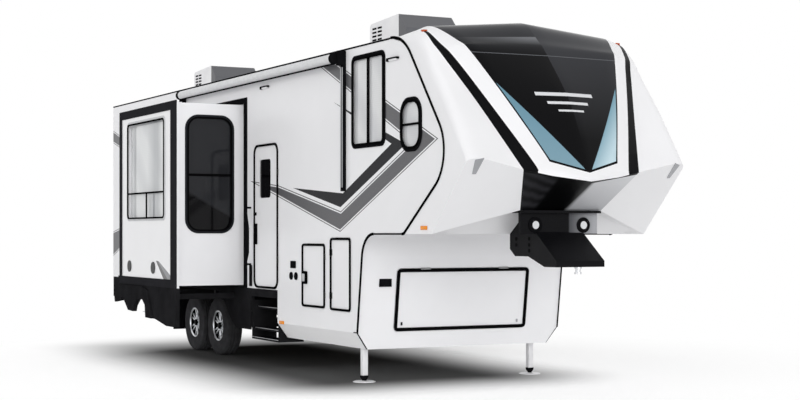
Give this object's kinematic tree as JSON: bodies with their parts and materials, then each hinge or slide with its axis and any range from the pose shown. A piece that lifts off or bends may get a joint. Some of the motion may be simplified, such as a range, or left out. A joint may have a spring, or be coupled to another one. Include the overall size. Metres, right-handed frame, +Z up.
{
  "type": "fifth wheel trailer",
  "caption": "Long fifth wheel travel trailer on tandem axles, with extended slide-out rooms, a raised nose with a king pin, baggage doors and a rear ramp door.",
  "frame": {"origin": "on the ground below the middle of the overall length and width", "axes": "+X towards the nose and king pin, +Y to the left side, +Z up"},
  "size_m": [11.525, 4.445, 4.1794],
  "materials": {
    "black_steel": "satin",
    "plated_steel": "satin",
    "floor_board": "matte",
    "white_gelcoat": "gloss",
    "white_plastic": "satin",
    "black_gloss": "gloss",
    "black_trim": "satin",
    "charcoal_trim": "satin",
    "tinted_glass": "gloss",
    "awning_tube": "satin",
    "lamp": "gloss",
    "tyre": "matte",
    "alloy": "polished",
    "amber_lens": "gloss",
    "red_lens": "gloss"
  },
  "bodies": {
    "root": {"air_conditioners": "white_plastic", "awning_arms": "black_trim", "awning_roller": "awning_tube", "basement_pan": "white_gelcoat", "body_skirts": "charcoal_trim", "chassis_frame": "black_steel", "docking_lights": "lamp", "entry_steps": "charcoal_trim", "front_axle": "black_steel", "grab_handle": "black_trim", "king_pin": "plated_steel", "landing_legs": "plated_steel", "leaf_springs": "black_steel", "left_side_wall": "white_gelcoat", "lower_front_cap": "white_gelcoat", "main_floor": "floor_board", "marker_lights": "amber_lens", "nose_cap": "white_gelcoat", "pin_box": "black_steel", "raised_floor": "floor_board", "rear_axle": "black_steel", "rear_jacks": "plated_steel", "rear_wall": "white_gelcoat", "right_side_wall": "white_gelcoat", "roof_panel": "white_gelcoat", "seam_beads": "black_trim", "slide_opening_trims": "black_trim", "tail_lights": "red_lens", "window_frames": "black_trim", "window_panes": "tinted_glass", "windscreen_panel": "black_gloss"},
    "entry_door": {"entry_door": "white_gelcoat", "entry_door_window": "tinted_glass"},
    "rear_baggage_door": {"rear_baggage_door": "white_gelcoat"},
    "front_baggage_door": {"front_baggage_door": "white_gelcoat"},
    "front_hatch": {"front_hatch": "white_gelcoat"},
    "ramp_door": {"ramp_door": "white_gelcoat"},
    "left_slide_room": {"left_slide_fascia": "black_trim", "left_slide_room": "white_gelcoat", "left_slide_skirt": "charcoal_trim", "left_slide_window_frames": "black_trim", "left_slide_windows": "tinted_glass"},
    "front_left_wheel": {"front_left_tyre": "tyre", "front_left_rim": "alloy"},
    "rear_left_wheel": {"rear_left_tyre": "tyre", "rear_left_rim": "alloy"},
    "right_slide_room": {"right_slide_fascia": "black_trim", "right_slide_room": "white_gelcoat", "right_slide_skirt": "charcoal_trim", "right_slide_speakers": "black_trim", "right_slide_window_frames": "black_trim", "right_slide_windows": "tinted_glass"},
    "front_right_wheel": {"front_right_tyre": "tyre", "front_right_rim": "alloy"},
    "rear_right_wheel": {"rear_right_tyre": "tyre", "rear_right_rim": "alloy"}
  },
  "joints": [
    {"name": "front_left_wheel_turn", "type": "hinge", "parent": "root", "child": "front_left_wheel", "pos_m": [-1.3825, 1.0525, 0.391], "axis": [0, 1, 0], "continuous": true},
    {"name": "front_right_wheel_turn", "type": "hinge", "parent": "root", "child": "front_right_wheel", "pos_m": [-1.3825, -1.0525, 0.391], "axis": [0, 1, 0], "continuous": true},
    {"name": "rear_left_wheel_turn", "type": "hinge", "parent": "root", "child": "rear_left_wheel", "pos_m": [-2.3025, 1.0525, 0.391], "axis": [0, 1, 0], "continuous": true},
    {"name": "rear_right_wheel_turn", "type": "hinge", "parent": "root", "child": "rear_right_wheel", "pos_m": [-2.3025, -1.0525, 0.391], "axis": [0, 1, 0], "continuous": true},
    {"name": "right_room_slide", "type": "slide", "parent": "root", "child": "right_slide_room", "axis": [0, 1, 0], "range_m": [0, 0.85]},
    {"name": "left_room_slide", "type": "slide", "parent": "root", "child": "left_slide_room", "axis": [0, -1, 0], "range_m": [0, 0.85]},
    {"name": "entry_door_hinge", "type": "hinge", "parent": "root", "child": "entry_door", "pos_m": [1.0105, -1.2905, 1.8], "axis": [0, 0, 1], "range_deg": [0, 110]},
    {"name": "rear_baggage_hinge", "type": "hinge", "parent": "root", "child": "rear_baggage_door", "pos_m": [2.3655, -1.2905, 1.15], "axis": [0, 0, 1], "range_deg": [0, 90]},
    {"name": "front_baggage_hinge", "type": "hinge", "parent": "root", "child": "front_baggage_door", "pos_m": [2.5095, -1.2905, 1.18], "axis": [0, 0, -1], "range_deg": [0, 90]},
    {"name": "front_hatch_hinge", "type": "hinge", "parent": "root", "child": "front_hatch", "pos_m": [3.29694, 0, 1.25092], "axis": [0, -1, 0], "range_deg": [0, 100]},
    {"name": "ramp_door_hinge", "type": "hinge", "parent": "root", "child": "ramp_door", "pos_m": [-5.7415, 0, 0.953], "axis": [0, -1, 0], "range_deg": [0, 112]}
  ]
}
